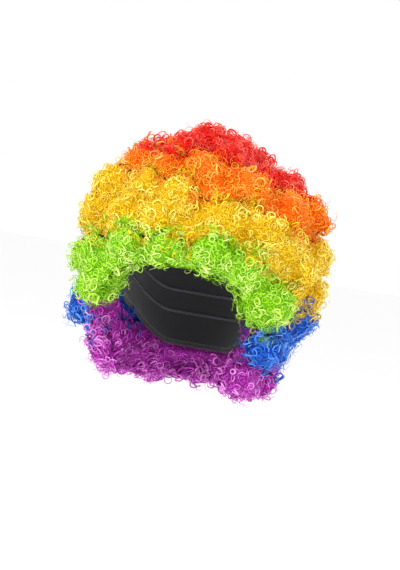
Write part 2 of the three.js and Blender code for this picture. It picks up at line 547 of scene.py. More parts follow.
WEFT_TAPE = TapeFinish("weft_tape", (0.12, 0.12, 0.13), (0.05, 0.05, 0.055), 900.0)
SEWING_THREAD = TapeFinish("sewing_thread", (0.36, 0.36, 0.37), (0.22, 0.22, 0.23), 1500.0)


def shown_object(name: str, mesh: bpy.types.Mesh) -> bpy.types.Object:
    """Put a mesh in the scene as an object at the origin.

    Args:
        name: the object's name.
        mesh: its mesh.

    Returns:
        The new object.
    """
    made = bpy.data.objects.new(name, mesh)
    bpy.context.scene.collection.objects.link(made)
    return made


def meshed(name: str, shell: bmesh.types.BMesh) -> bpy.types.Mesh:
    """Turn a shell into a mesh, and free it.

    Args:
        name: the mesh's name.
        shell: the shell.

    Returns:
        The new mesh.
    """
    mesh = bpy.data.meshes.new(name)
    shell.to_mesh(mesh)
    shell.free()
    return mesh


def settled(piece: bpy.types.Object) -> bpy.types.Mesh:
    """Give an object the mesh that its modifiers make, without the modifiers.

    Args:
        piece: the object.

    Returns:
        Its new plain mesh.
    """
    graph = bpy.context.evaluated_depsgraph_get()
    graph.update()
    mesh = bpy.data.meshes.new_from_object(piece.evaluated_get(graph), depsgraph=graph)
    mesh.name = piece.name
    piece.modifiers.clear()
    old = piece.data
    piece.data = mesh
    bpy.data.meshes.remove(old)
    return mesh


def read(mesh: bpy.types.Mesh, name: str) -> np.ndarray:
    """Read an attribute that has one number per vertex.

    Args:
        mesh: the mesh.
        name: the attribute's name.

    Returns:
        The numbers.
    """
    values = np.empty(len(mesh.vertices), dtype=np.float32)
    mesh.attributes[name].data.foreach_get("value", values)
    return values


def write(mesh: bpy.types.Mesh, name: str, values: np.ndarray) -> None:
    """Write an attribute that has one number per vertex.

    Args:
        mesh: the mesh.
        name: the attribute's name.
        values: the numbers.
    """
    layer = mesh.attributes.get(name) or mesh.attributes.new(name, "FLOAT", "POINT")
    layer.data.foreach_set("value", values.astype(np.float32))


def gathered(meshes: list[bpy.types.Mesh]) -> BVHTree:
    """Gather the faces of some meshes in one tree, for rays and nearest points.

    Args:
        meshes: the meshes.

    Returns:
        The tree.
    """
    corners: list[Vector] = []
    faces: list[tuple[int, ...]] = []
    for mesh in meshes:
        first = len(corners)
        corners.extend(v.co.copy() for v in mesh.vertices)
        faces.extend(tuple(first + i for i in p.vertices) for p in mesh.polygons)
    return BVHTree.FromPolygons(corners, faces)


class NodeForm(Tree):
    """A Geometry Nodes tree with named inputs, the last of them its finish."""

    def __init__(self, name: str, sizes: tuple[str, ...], counts: tuple[str, ...] = ()) -> None:
        """Make the tree and its sockets.

        Args:
            name: the tree's name.
            sizes: the names of its inputs for lengths and shares.
            counts: the names of its inputs for whole numbers.
        """
        super().__init__(bpy.data.node_groups.new(name, "GeometryNodeTree"))
        face = self.tree.interface
        face.new_socket("Geometry", in_out="INPUT", socket_type="NodeSocketGeometry")
        for label in sizes:
            face.new_socket(label, in_out="INPUT", socket_type="NodeSocketFloat")
        for label in counts:
            face.new_socket(label, in_out="INPUT", socket_type="NodeSocketInt")
        face.new_socket("Finish", in_out="INPUT", socket_type="NodeSocketMaterial")
        face.new_socket("Geometry", in_out="OUTPUT", socket_type="NodeSocketGeometry")
        self.given = self.add("NodeGroupInput").outputs
        self.result = self.add("NodeGroupOutput").inputs

    def point(self, **parts: object) -> Socket:
        """Make a vector from its named parts."""
        return self.add("ShaderNodeCombineXYZ", **parts).outputs[0]

    def read(self, name: str, kind: str = "FLOAT") -> Socket:
        """Read an attribute by its name."""
        return self.add("GeometryNodeInputNamedAttribute", data_type=kind, Name=name).outputs[0]

    def store(
        self, geometry: Socket, name: str, value: Socket, kind: str = "FLOAT", domain: str = "POINT"
    ) -> Socket:
        """Store a value as an attribute.

        Args:
            geometry: what it is stored on.
            name: the attribute's name.
            value: the value.
            kind: the attribute's type.
            domain: the attribute's domain.

        Returns:
            The geometry with the attribute.
        """
        return self.add(
            "GeometryNodeStoreNamedAttribute",
            geometry,
            data_type=kind,
            domain=domain,
            Name=name,
            Value=value,
        ).outputs[0]

    def drawn(self, draw: Draw, kind: str, low: object, high: object) -> Socket:
        """Draw a random value for each root.

        Args:
            draw: which of the coat's draws it is.
            kind: the value's type.
            low: the least value.
            high: the greatest value.

        Returns:
            The value's socket.
        """
        seed = self.number("ADD", self.given["Seed"], draw.value)
        return self.add(
            "FunctionNodeRandomValue", data_type=kind, Seed=seed, Min=low, Max=high
        ).outputs["Value"]

    def turned(self, rotation: Socket, angle: Socket) -> Socket:
        """Turn a rotation about its own Z axis.

        Args:
            rotation: the rotation.
            angle: the angle in radians.

        Returns:
            The new rotation's socket.
        """
        turn = self.add("FunctionNodeEulerToRotation", Euler=self.point(Z=angle)).outputs[0]
        return self.add(
            "FunctionNodeRotateRotation",
            rotation_space="LOCAL",
            Rotation=rotation,
            Rotate_By=turn,
        ).outputs[0]

    def close(self, geometry: Socket) -> None:
        """End the tree: make the instances real and set the finish."""
        real = self.add("GeometryNodeRealizeInstances", geometry)
        dressed = self.add(
            "GeometryNodeSetMaterial", real.outputs[0], Material=self.given["Finish"]
        )
        self.feed(self.result[0], dressed.outputs[0])

    def apply(self, piece: bpy.types.Object, values: dict[str, object]) -> bpy.types.Mesh:
        """Run the tree on an object and keep what it makes.

        Args:
            piece: the object.
            values: the inputs by name.

        Returns:
            The new mesh.
        """
        modifier = piece.modifiers.new(self.tree.name, "NODES")
        modifier.node_group = self.tree
        for item in self.tree.interface.items_tree:
            if item.in_out == "INPUT" and item.name in values:
                modifier[item.identifier] = values[item.name]
        return settled(piece)


@dataclass
class StretchCap:
    """The stretch cap: a thin dome wall with a thicker hem round its rim."""

    half_width: float = 77.0 * MM
    half_length: float = 97.0 * MM
    widest_drop: float = 100.0 * MM
    wall: float = 1.5 * MM
    hem: float = 3.0 * MM
    hem_height: float = 10.0 * MM
    hem_ramp: float = 2.0 * MM
    front_rim: float = 62.0 * MM
    back_rim: float = 168.0 * MM
    rim_softenings: int = 3
    halvings: int = 30
    around: int = 120
    rows: int = 30
    weave_arc: float = 1.75
    rim_weave: tuple[float, float] = (4.0 * MM, 3.0 * MM)
    tape_rows: tuple[float, ...] = (0.16, 0.31, 0.45, 0.58, 0.70, 0.81)
    tape_half: float = 2.2 * MM
    tape_rise: float = 0.6 * MM
    tape_crown: float = 1.15
    stitch_pitch: float = 2.6 * MM
    stitch_radius: float = 0.28 * MM
    stitch_half: float = 0.62
    stitch_bow: float = 2.2
    stitch_turn: float = 0.7
    rim_line: tuple[tuple[float, float], ...] = (
        (-1.3, 0.0),
        (-0.86, 0.02),
        (-0.5, 0.26),
        (-0.12, 0.5),
        (0.3, 0.66),
        (0.62, 0.95),
        (1.3, 1.0),
    )

    def rim_height(self, y: float) -> float:
        """Read how high the rim is at a place from front to back.

        Args:
            y: the place.

        Returns:
            The rim's height there.
        """
        places = [along * self.half_length for along, _ in self.rim_line]
        fall = self.back_rim - self.front_rim
        drops = [self.front_rim + fall * drop for _, drop in self.rim_line]
        return -float(np.interp(y, places, drops))

    def spot(self, around: float, polar: float, grow: float) -> Vector:
        """Place a point on the cap's form, grown by some distance.

        Args:
            around: the angle round the form, from the front.
            polar: the angle down from the top.
            grow: the distance.

        Returns:
            The point.
        """
        return Vector(
            (
                (self.half_width + grow) * math.sin(polar) * math.sin(around),
                -(self.half_length + grow) * math.sin(polar) * math.cos(around),
                (self.widest_drop + grow) * math.cos(polar) - self.widest_drop,
            )
        )

    def rim_polar(self, around: float) -> float:
        """Find the polar angle at which the rim lies, by halving.

        Args:
            around: the angle round the form, from the front.

        Returns:
            The angle down from the top.
        """
        low, high = 0.1, math.pi
        for _ in range(self.halvings):
            middle = 0.5 * (low + high)
            spot = self.spot(around, middle, 0.0)
            if spot.z > self.rim_height(spot.y):
                low = middle
            else:
                high = middle
        return low

    def rims(self) -> list[tuple[float, float]]:
        """List the columns round the cap.

        Returns:
            Each column's angle around and its rim's polar angle.
        """
        columns = [FULL_TURN * i / self.around for i in range(self.around)]
        rims = np.array([self.rim_polar(around) for around in columns])
        for _ in range(self.rim_softenings):
            rims = 0.5 * rims + 0.25 * (np.roll(rims, 1) + np.roll(rims, -1))
        return list(zip(columns, (float(rim) for rim in rims)))

    def build(self, finish: NetFinish) -> bpy.types.Object:
        """Build the cap with its weave's map.

        Args:
            finish: the net's finish.

        Returns:
            The cap's object.
        """
        shell = bmesh.new()
        weave = shell.loops.layers.uv.new("Weave")
        sides: dict[bool, dict[tuple[int, int], bmesh.types.BMVert]] = {True: {}, False: {}}
        for outside, side in sides.items():
            top = shell.verts.new(self.spot(0.0, 0.0, self.wall if outside else 0.0))
            for i, (around, rim) in enumerate(self.rims()):
                side[i, 0] = top
                for row in range(1, self.rows + 1):
                    polar = rim * row / self.rows
                    up = (rim - polar) * self.widest_drop
                    ramp = min(1.0, max(0.0, (self.hem_height - up) / self.hem_ramp))
                    inward = (self.hem - self.wall) * ramp
                    spot = self.spot(around, polar, self.wall if outside else -inward)
                    side[i, row] = shell.verts.new(spot)
        wide = FULL_TURN * self.half_width
        high = self.weave_arc * self.widest_drop
        last = self.rows
        for i in range(self.around):
            after = (i + 1) % self.around
            for row in range(self.rows):
                keys = [(i, row), (after, row), (after, row + 1), (i, row + 1)]
                if row == 0:
                    keys = [(i, 0), (after, 1), (i, 1)]
                for outside, side in sides.items():
                    order = keys[::-1] if outside else keys
                    face = shell.faces.new([side[key] for key in order])
                    for loop, key in zip(face.loops, order):
                        width = i + (1 if key[0] == after else 0)
                        loop[weave].uv = (width * wide / self.around, key[1] * high / self.rows)
            outer, inner = sides[True], sides[False]
            edge = (outer[i, last], outer[after, last], inner[after, last], inner[i, last])
            face = shell.faces.new(edge)
            for loop, x, y in zip(face.loops, (0, 1, 1, 0), (0, 0, 1, 1)):
                loop[weave].uv = ((i + x) * self.rim_weave[0], y * self.rim_weave[1])
        bmesh.ops.recalc_face_normals(shell, faces=shell.faces)
        for face in shell.faces:
            face.smooth = True
        mesh = meshed("stretch_cap", shell)
        mesh.materials.append(finish.material())
        piece = shown_object("stretch_cap", mesh)
        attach(piece, "root")
        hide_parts("cap")
        return piece

    def build_tapes(self, finish: TapeFinish) -> bpy.types.Object:
        """Build the tapes that run round inside the cap, on which the hair is sewn.

        Args:
            finish: the tape's finish.

        Returns:
            The tapes' object.
        """
        shell = bmesh.new()
        crown = self.tape_crown
        section = ((-1.0, 0.0), (-0.85, 1.0), (0.0, crown), (0.85, 1.0), (1.0, 0.0), (0.0, -0.5))
        step = self.tape_half / self.widest_drop
        for share in self.tape_rows:
            rings = [
                [
                    shell.verts.new(
                        self.spot(around, rim * share + along * step, -rise * self.tape_rise)
                    )
                    for along, rise in section
                ]
                for around, rim in self.rims()
            ]
            for i, ring in enumerate(rings):
                after = rings[(i + 1) % len(rings)]
                for k in range(len(section)):
                    m = (k + 1) % len(section)
                    shell.faces.new((ring[k], ring[m], after[m], after[k])).smooth = True
        bmesh.ops.recalc_face_normals(shell, faces=shell.faces)
        mesh = meshed("weft_tapes", shell)
        mesh.materials.append(finish.material())
        piece = shown_object("weft_tapes", mesh)
        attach(piece, "root")
        return piece

    def stitch_form(self) -> NodeForm:
        """Build the tree that sews a zigzag of stitches along lines.

        Returns:
            The tree.
        """
        form = NodeForm("zigzag_stitches", sizes=("Pitch", "Thread radius"))
        pitch, thread = form.given["Pitch"], form.given["Thread radius"]
        line = form.add("GeometryNodeMeshToCurve", form.given["Geometry"])
        spaced = form.add(
            "GeometryNodeResampleCurve", line.outputs[0], mode="LENGTH", Length=pitch
        )
        half = form.number("MULTIPLY", pitch, self.stitch_half)
        bow = form.add(
            "GeometryNodeCurveQuadraticBezier",
            Resolution=3,
            Start=form.point(X=form.number("MULTIPLY", half, -1.0)),
            Middle=form.point(Z=form.number("MULTIPLY", thread, self.stitch_bow)),
            End=form.point(X=form.number("MULTIPLY", half, 1.0)),
        )
        ring = form.add("GeometryNodeCurvePrimitiveCircle", Resolution=3, Radius=thread)
        stitch = form.add(
            "GeometryNodeCurveToMesh",
            bow.outputs[0],
            Profile_Curve=ring.outputs[0],
            Fill_Caps=True,
        )
        along = form.add(
            "FunctionNodeAlignRotationToVector",
            axis="X",
            Vector=form.add("GeometryNodeInputTangent").outputs[0],
        )
        level = form.add(
            "FunctionNodeAlignRotationToVector",
            axis="Z",
            pivot_axis="X",
            Rotation=along.outputs[0],
            Vector=form.read("out", "FLOAT_VECTOR"),
        )
        odd = form.number("MODULO", form.add("GeometryNodeInputIndex").outputs[0], 2.0)
        angle = form.weighed(-self.stitch_turn, (odd, 2.0 * self.stitch_turn))
        sewn = form.add(
            "GeometryNodeInstanceOnPoints",
            spaced.outputs[0],
            Instance=stitch.outputs[0],
            Rotation=form.turned(level.outputs[0], angle),
        )
        form.close(sewn.outputs[0])
        return form

    def build_stitches(self, finish: TapeFinish) -> bpy.types.Object:
        """Sew the stitches that hold the tapes and the hem.

        Args:
            finish: the thread's finish.

        Returns:
            The stitches' object.
        """
        spots: list[Vector] = []
        edges: list[tuple[int, int]] = []
        outs: list[float] = []
        centre = Vector((0.0, 0.0, -self.widest_drop))
        hem_line = 0.5 * self.hem_height / self.widest_drop
        for share in (*self.tape_rows, None):
            first = len(spots)
            for around, rim in self.rims():
                polar = rim - hem_line if share is None else rim * share
                tape = self.tape_crown * self.tape_rise
                inward = self.hem - self.wall if share is None else tape
                spots.append(self.spot(around, polar, -inward))
                outs.extend((centre - spots[-1]).normalized())
            edges.extend((first + i, first + (i + 1) % self.around) for i in range(self.around))
        mesh = bpy.data.meshes.new("cap_stitches")
        mesh.from_pydata(spots, edges, [])
        mesh.attributes.new("out", "FLOAT_VECTOR", "POINT").data.foreach_set("vector", outs)
        piece = shown_object(mesh.name, mesh)
        values = {
            "Pitch": self.stitch_pitch,
            "Thread radius": self.stitch_radius,
            "Finish": finish.material(),
        }
        self.stitch_form().apply(piece, values)
        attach(piece, "root")
        return piece


@dataclass
class Hair:
    """The whole hair's form, which the bands share."""

    cap: StretchCap = field(default_factory=StretchCap)
    centre: Vector = field(default_factory=lambda: Vector((0.0, 13.0, -70.0)) * MM)
    beyond: float = 40.0 * MM
    edge_depth: float = 24.0 * MM
    edge_fade: float = 1.5
    way_in_half: tuple[float, float] = (66.0 * MM, 64.0 * MM)
    way_in_drop: float = 120.0 * MM
    near: float = 1.17
    rim_clearance: float = 8.0 * MM
    weld: float = 1e-6
    voxel: float = 4.5 * MM
    smoothings: int = 10
    tuft_size: float = 19.0 * MM
    tuft_relief: float = 7.0 * MM
    tuft_level: float = 0.1
    tuft_softness: float = 0.35
    slack: float = 1.2 * MM
    slack_end: float = 3.0
    rays: int = 26
    ray_start: float = 1.5 * MM
    ray_spread: float = 0.25
    shut_share: float = 0.05
    cover_span: float = 0.27
    full_share: float = 0.85
    lining_cover: float = 0.85
    mingle_reach: float = 16.0 * MM
    mingle_share: float = 0.75
    mingle_patch: float = 24.0 * MM
    mingle_level: float = 0.55
    mingle_contrast: float = 1.3
    border_extra: float = 0.7

    def rounded(self, name: str, solids: list[str]) -> bpy.types.Object:
        """Round off a copy of some of the frame's solids, taken together.

        Args:
            name: the new object's name.
            solids: the solids' nodes.

        Returns:
            The rounded object.
        """
        loose = bmesh.new()
        for solid in solids:
            loose.from_mesh(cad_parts[solid].data)
        bmesh.ops.remove_doubles(loose, verts=loose.verts, dist=self.weld)
        piece = shown_object(name, meshed(name, loose))
        remesh = piece.modifiers.new("round", "REMESH")
        remesh.mode = "VOXEL"
        remesh.voxel_size = self.voxel
        smooth = piece.modifiers.new("smooth", "SMOOTH")
        smooth.factor = 0.5
        smooth.iterations = self.smoothings
        settled(piece)
        return piece

    def even_out(self, masses: list[bpy.types.Object]) -> None:
        """Bring the bands' edges out to one even surface, so that no groove parts them.

        Args:
            masses: the bands' rounded masses.
        """
        whole = self.rounded("whole_hair", [band.value for band in Band])
        surface = gathered([whole.data])
        for mass in masses:
            for vertex in mass.data.vertices:
                way = (vertex.co - self.centre).normalized()
                start = vertex.co + way * self.beyond
                hit = surface.ray_cast(start, -way, self.beyond + self.edge_depth)[0]
                if hit is None:
                    continue
                lift = (hit - vertex.co).dot(way)
                if lift > 0.0:
                    share = self.edge_fade - self.edge_fade * lift / self.edge_depth
                    vertex.co += way * (lift * max(0.0, min(1.0, share)))
            mass.data.update()
        mesh = whole.data
        bpy.data.objects.remove(whole)
        bpy.data.meshes.remove(mesh)

    def relief_form(self) -> NodeForm:
        """Build the tree that raises small tufts on a mass of hair.

        Returns:
            The tree.
        """
        form = NodeForm("tuft_relief", sizes=("Tuft size", "Relief", "Level", "Slack", "Seed"))
        given = form.given
        place = form.add("GeometryNodeInputPosition").outputs[0]
        place = form.vector("SCALE", place, scale=form.number("DIVIDE", 1.0, given["Tuft size"]))
        cells = form.add(
            "ShaderNodeTexVoronoi",
            voronoi_dimensions="4D",
            feature="SMOOTH_F1",
            Vector=place,
            W=given["Seed"],
            Smoothness=self.tuft_softness,
            Scale=1.0,
        )
        height = form.number("SUBTRACT", given["Level"], cells.outputs["Distance"])
        height = form.number("MULTIPLY", height, given["Relief"])
        cover = form.read("cover")
        height = form.number("MULTIPLY", height, cover)
        shown = form.number("MINIMUM", form.number("MULTIPLY", cover, self.slack_end), 1.0)
        slack = form.number("MULTIPLY", form.number("SUBTRACT", 1.0, shown), given["Slack"])
        height = form.number("SUBTRACT", height, slack)
        out = form.vector(
            "SCALE", form.add("GeometryNodeInputNormal").outputs[0], scale=height
        )
        moved = form.add("GeometryNodeSetPosition", given["Geometry"], Offset=out)
        smooth = form.add("GeometryNodeSetShadeSmooth", moved.outputs[0])
        form.close(smooth.outputs[0])
        return form

    def lining(self, points: np.ndarray, normals: np.ndarray) -> tuple[np.ndarray, np.ndarray]:
        """Find which points line the hollow inside the hair.

        Args:
            points: positions, a row each.
            normals: the surface's normals there.

        Returns:
            True for each point on the hollow's wall, and for each of these that the cap covers.
        """
        cap = self.cap
        half = np.array((cap.half_width, cap.half_length, cap.widest_drop))
        off = (points + np.array((0.0, 0.0, cap.widest_drop))) / half
        inside = np.linalg.norm(off, axis=1) < self.near
        by_cap = inside & ((normals * off).sum(axis=1) < 0.0)
        low = points[:, 2] < -self.way_in_drop
        wide, deep = self.way_in_half
        by_way = np.hypot(points[:, 0] / wide, points[:, 1] / deep) < self.near
        inwards = (normals[:, :2] * points[:, :2]).sum(axis=1) < 0.0
        lining = by_cap | (low & by_way & inwards)
        rims = np.array([cap.rim_height(y) for y in points[:, 1]])
        return lining, lining & (points[:, 2] > rims - self.rim_clearance)

    def open_share(self, masses: list[bpy.types.Mesh], cap: bpy.types.Mesh) -> list[np.ndarray]:
        """Measure how open each vertex of some masses is to the outside.

        Args:
            masses: the masses of hair.
            cap: the cap's mesh, which also shuts rays in.

        Returns:
            For each mass, each vertex's share of rays that get out.
        """
        tree = gathered([*masses, cap])
        golden = math.pi * (3.0 - math.sqrt(5.0))
        heights = [1.0 - 2.0 * (i + 0.5) / self.rays for i in range(self.rays)]
        ways = [
            Vector((math.cos(golden * i), math.sin(golden * i), 0.0)) * math.sqrt(1.0 - z * z)
            + Vector((0.0, 0.0, z))
            for i, z in enumerate(heights)
        ]
        shares = []
        for mesh in masses:
            share = np.zeros(len(mesh.vertices))
            for number, vertex in enumerate(mesh.vertices):
                normal = vertex.normal
                start = vertex.co + normal * self.ray_start
                tried = [way for way in ways if way.dot(normal) > self.ray_spread]
                free = sum(1 for way in tried if tree.ray_cast(start, way)[0] is None)
                share[number] = free / max(1, len(tried))
            shares.append(share)
        return shares

    def mingle(self, bands: list["HairBand"]) -> None:
        """Let curls of each band also grow from its neighbours, in patches along their borders.

        Args:
            bands: the bands, with their masses' cover marked.
        """
        trees = {band.band: gathered([band.mass.data]) for band in bands}
        for band in bands:
            mesh = band.mass.data
            places = [v.co.copy() for v in mesh.vertices]
            most = np.zeros(len(places))
            body = np.ones((len(places), 4), dtype=np.float32)
            given = np.zeros(len(places))
            border = np.zeros(len(places))
            shares = []
            for guest in bands:
                if guest is band:
                    continue
                pair = Vector((guest.seed, band.seed, 0.0))
                weight = np.zeros(len(places))
                for number, place in enumerate(places):
                    gap = trees[guest.band].find_nearest(place, self.mingle_reach)[3]
                    if gap is not None:
                        wave = noise.noise(place / self.mingle_patch + pair)
                        patch = self.mingle_level + self.mingle_contrast * wave
                        near = 1.0 - gap / self.mingle_reach
                        border[number] = max(border[number], near)
                        weight[number] = near * min(1.0, max(0.0, patch))
                body[weight > most, :3] = COLOURS[guest.band].body
                most = np.maximum(most, weight)
                share = np.minimum(weight * self.mingle_share, 1.0 - given)
                given += share
                shares.append((guest, share))
            cover = read(mesh, "cover") * (1.0 + self.border_extra * border)
            for guest, share in shares:
                guest.grounds.append((mesh, cover * share))
            write(mesh, "cover", cover * (1.0 - given))
            write(mesh, "guest", most)
            layer = mesh.attributes.new("guest_body", "FLOAT_COLOR", "POINT")
            layer.data.foreach_set("color", body.ravel())
        for band in bands:
            band.grounds.append((band.mass.data, read(band.mass.data, "cover")))


@dataclass
class CurlCoat:
    """One cast of curls: their sizes and how many of them the wig has."""

    cast: Cast
    total: int
    radius: float
    rise: float
    strand: float
    points: int
    sink: float
    stray: float
    droop: float
    scatter: float
    size_range: tuple[float, float] = (0.7, 1.3)
    tip_thinning: float = 0.75
    tip_power: float = 3.0
    map_columns: int = 3
    map_margin: float = 0.05

    def form(self) -> NodeForm:
        """Build the tree that covers a mass of hair with curls.

        Returns:
            The tree.
        """
        form = NodeForm(
            f"coat_of_{self.cast.value}",
            sizes=(
                "Curls per m2",
                "Curl radius",
                "Curl rise",
                "Strand radius",
                "Sink",
                "Stray",
                "Droop",
                "Scatter",
            ),
            counts=("Points per turn", "Seed"),
        )
        given = form.given
        roots = form.add(
            "GeometryNodeDistributePointsOnFaces",
            given["Geometry"],
            Density=form.number("MULTIPLY", form.read("cover"), given["Curls per m2"]),
            Seed=given["Seed"],
        )
        normal = roots.outputs["Normal"]
        least, most = (-1.0, -1.0, -1.0), (1.0, 1.0, 1.0)
        under = form.vector("SCALE", normal, scale=form.number("MULTIPLY", given["Sink"], -1.0))
        aside = form.drawn(Draw.STRAY, "FLOAT_VECTOR", least, most)
        level = form.vector("SCALE", normal, scale=form.vector("DOT_PRODUCT", aside, normal))
        aside = form.vector("SUBTRACT", aside, level)
        moved = form.vector("ADD", under, form.vector("SCALE", aside, scale=given["Stray"]))
        kept = form.store(roots.outputs["Points"], "root_normal", normal, "FLOAT_VECTOR")
        sunk = form.add("GeometryNodeSetPosition", kept, Offset=moved)
        normal = form.read("root_normal", "FLOAT_VECTOR")
        drop = form.point(Z=form.number("MULTIPLY", given["Droop"], -1.0))
        lean = form.drawn(Draw.LEAN, "FLOAT_VECTOR", least, most)
        lean = form.vector("SCALE", lean, scale=given["Scatter"])
        along = form.vector("ADD", form.vector("ADD", normal, drop), lean)
        stand = form.add("FunctionNodeAlignRotationToVector", axis="Z", Vector=along)
        spin = form.drawn(Draw.SPIN, "FLOAT", 0.0, FULL_TURN)
        curls = CURLS[self.cast]
        kinds = form.add("GeometryNodeJoinGeometry")
        for curl in reversed(curls):
            form.feed(kinds.inputs[0], self.curl(form, curl))
        planted = form.add(
            "GeometryNodeInstanceOnPoints",
            sunk.outputs[0],
            Instance=kinds.outputs[0],
            Pick_Instance=True,
            Instance_Index=form.drawn(Draw.KIND, "INT", 0, len(curls) - 1),
            Rotation=form.turned(stand.outputs[0], spin),
            Scale=form.drawn(Draw.SIZE, "FLOAT", *self.size_range),
        ).outputs[0]
        tone = form.drawn(Draw.TONE, "FLOAT", 0.0, 1.0)
        count = form.add("GeometryNodeInputIndex").outputs[0]
        toned = form.store(planted, "tone", tone, domain="INSTANCE")
        form.close(form.store(toned, "curl", count, "INT", "INSTANCE"))
        return form

    def curl(self, form: NodeForm, curl: Curl) -> Socket:
        """Build one kind of curl, standing on the origin along +Z, as an instance.

        Args:
            form: the tree that it joins.
            curl: its form.

        Returns:
            The instance's socket.
        """
        given = form.given
        spiral = form.add(
            "GeometryNodeCurveSpiral",
            Resolution=given["Points per turn"],
            Rotations=curl.turns,
            Start_Radius=form.number("MULTIPLY", given["Curl radius"], curl.first),
            End_Radius=form.number("MULTIPLY", given["Curl radius"], curl.last),
            Height=form.number("MULTIPLY", given["Curl rise"], curl.rise),
        )
        share = form.add("GeometryNodeSplineParameter").outputs["Factor"]
        far = form.number("ABSOLUTE", form.weighed(-1.0, (share, 2.0)))
        far = form.number("POWER", far, self.tip_power)
        thin = form.weighed(1.0, (far, -self.tip_thinning))
        thick = form.number("MULTIPLY", given["Strand radius"], curl.strand)
        ring = form.add("GeometryNodeCurvePrimitiveCircle", Resolution=3, Radius=1.0)
        tube = form.add(
            "GeometryNodeCurveToMesh",
            form.store(spiral.outputs[0], "along", share),
            Profile_Curve=ring.outputs[0],
            Scale=form.number("MULTIPLY", thin, thick),
            Fill_Caps=True,
        )
        # The spiral starts on its circle, so it is moved until its first point stands on the root.
        back = form.point(X=form.number("MULTIPLY", given["Curl radius"], -curl.first))
        moved = form.add("GeometryNodeSetPosition", tube.outputs[0], Offset=back)
        smooth = form.add("GeometryNodeSetShadeSmooth", moved.outputs[0])
        return form.add("GeometryNodeGeometryToInstance", smooth.outputs[0]).outputs[0]

    def unwrap(self, mesh: bpy.types.Mesh) -> None:
        """Lay each curl's faces out in a cell of its own, in a map for baking.

        Args:
            mesh: the coat's mesh, with each curl's number as the attribute curl.
        """
        faces = len(mesh.polygons)
        starts, totals, rank, most = (np.empty(faces, dtype=np.int64) for _ in range(4))
        mesh.polygons.foreach_get("loop_start", starts)
        mesh.polygons.foreach_get("loop_total", totals)
        corners = np.empty(len(mesh.loops), dtype=np.int64)
        mesh.loops.foreach_get("vertex_index", corners)
        curl = np.empty(len(mesh.vertices), dtype=np.int32)
        mesh.attributes["curl"].data.foreach_get("value", curl)
        owner = curl[corners[starts]]
        order = np.argsort(owner, kind="stable")
        first = np.r_[0, np.flatnonzero(np.diff(owner[order])) + 1]
        lengths = np.diff(np.r_[first, faces])
        rank[order] = np.arange(faces) - np.repeat(first, lengths)
        most[order] = np.repeat(lengths, lengths)
        side = max(2, math.ceil(math.sqrt(owner.max() + 1)))
        columns, margin = self.map_columns, self.map_margin
        inner = 1.0 - 2.0 * margin
        rows = np.ceil(most / columns)
        left = (owner % side + (rank % columns) / columns * inner + margin) / side
        low = (owner // side + (rank // columns) / rows * inner + margin) / side
        wide = inner / columns / side
        high = inner / rows / side
        turn = np.arange(len(mesh.loops)) - np.repeat(starts, totals)
        across = np.isin(turn, (1, 2)).astype(float)
        up = np.isin(turn, (2, 3)).astype(float)
        spots = np.empty((len(mesh.loops), 2), dtype=np.float32)
        spots[:, 0] = np.repeat(left, totals) + across * wide
        spots[:, 1] = np.repeat(low, totals) + up * np.repeat(high, totals)
        mesh.uv_layers.new(name="OFBake").uv.foreach_set("vector", spots.ravel())


